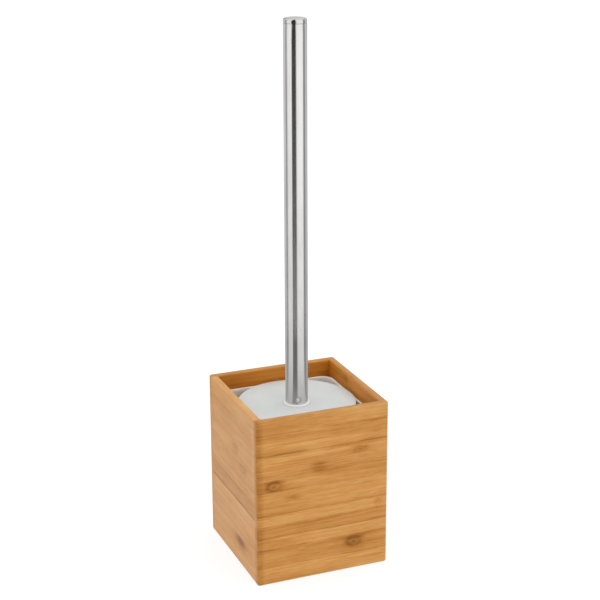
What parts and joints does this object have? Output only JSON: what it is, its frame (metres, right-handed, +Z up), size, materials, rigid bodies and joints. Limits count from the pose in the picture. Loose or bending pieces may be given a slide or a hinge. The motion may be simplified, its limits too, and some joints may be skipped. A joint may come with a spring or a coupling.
{
  "type": "toilet brush holder",
  "caption": "Square bamboo stand with a lift-out plastic pot and a toilet brush: round lid, steel tube handle and round bristle head.",
  "frame": {"origin": "middle of the underside of the box, where it stands on the floor", "axes": "+Z up along the brush handle; -Y towards the front, the face with the full-width board and the tube's small hole; +X to the right"},
  "size_m": [0.095, 0.095, 0.371],
  "materials": {
    "bamboo": "clear satin lacquer on laminated bamboo, fine grain with scattered nodes",
    "pot_plastic": "white, smooth moulded",
    "lid_plastic": "white, smooth moulded, soft sheen",
    "stainless_steel": "polished, with faint lengthwise polishing lines",
    "brush_plastic": "white, moulded",
    "bristle_nylon": "white nylon filaments"
  },
  "bodies": {
    "box": {"front_panel": "bamboo", "back_panel": "bamboo", "left_panel": "bamboo", "right_panel": "bamboo", "base_panel": "bamboo"},
    "pot": {"inner_pot": "pot_plastic"},
    "lid": {"splash_lid": "lid_plastic"},
    "brush_head": {"brush_core": "brush_plastic", "bristle_row_1": "bristle_nylon", "bristle_row_2": "bristle_nylon", "bristle_row_3": "bristle_nylon", "bristle_row_4": "bristle_nylon", "bristle_row_5": "bristle_nylon", "bristle_row_6": "bristle_nylon", "bristle_row_7": "bristle_nylon", "bristle_row_8": "bristle_nylon", "tip_bristles": "bristle_nylon"},
    "handle": {"handle_tube": "stainless_steel", "handle_end_cap": "stainless_steel", "threaded_insert": "brush_plastic"}
  },
  "joints": [
    {"name": "pot_lift", "type": "slide", "parent": "box", "child": "pot", "axis": [0, 0, 1], "range_m": [0, 0.125]},
    {"name": "brush_lift", "type": "slide", "parent": "pot", "child": "lid", "axis": [0, 0, 1], "range_m": [0, 0.125]},
    {"name": "brush_turn", "type": "hinge", "parent": "lid", "child": "brush_head", "pos_m": [0, 0, 0.1], "axis": [0, 0, 1], "continuous": true},
    {"name": "handle_unscrew", "type": "slide", "parent": "brush_head", "child": "handle", "axis": [0, 0, 1], "range_m": [0, 0.02]}
  ]
}
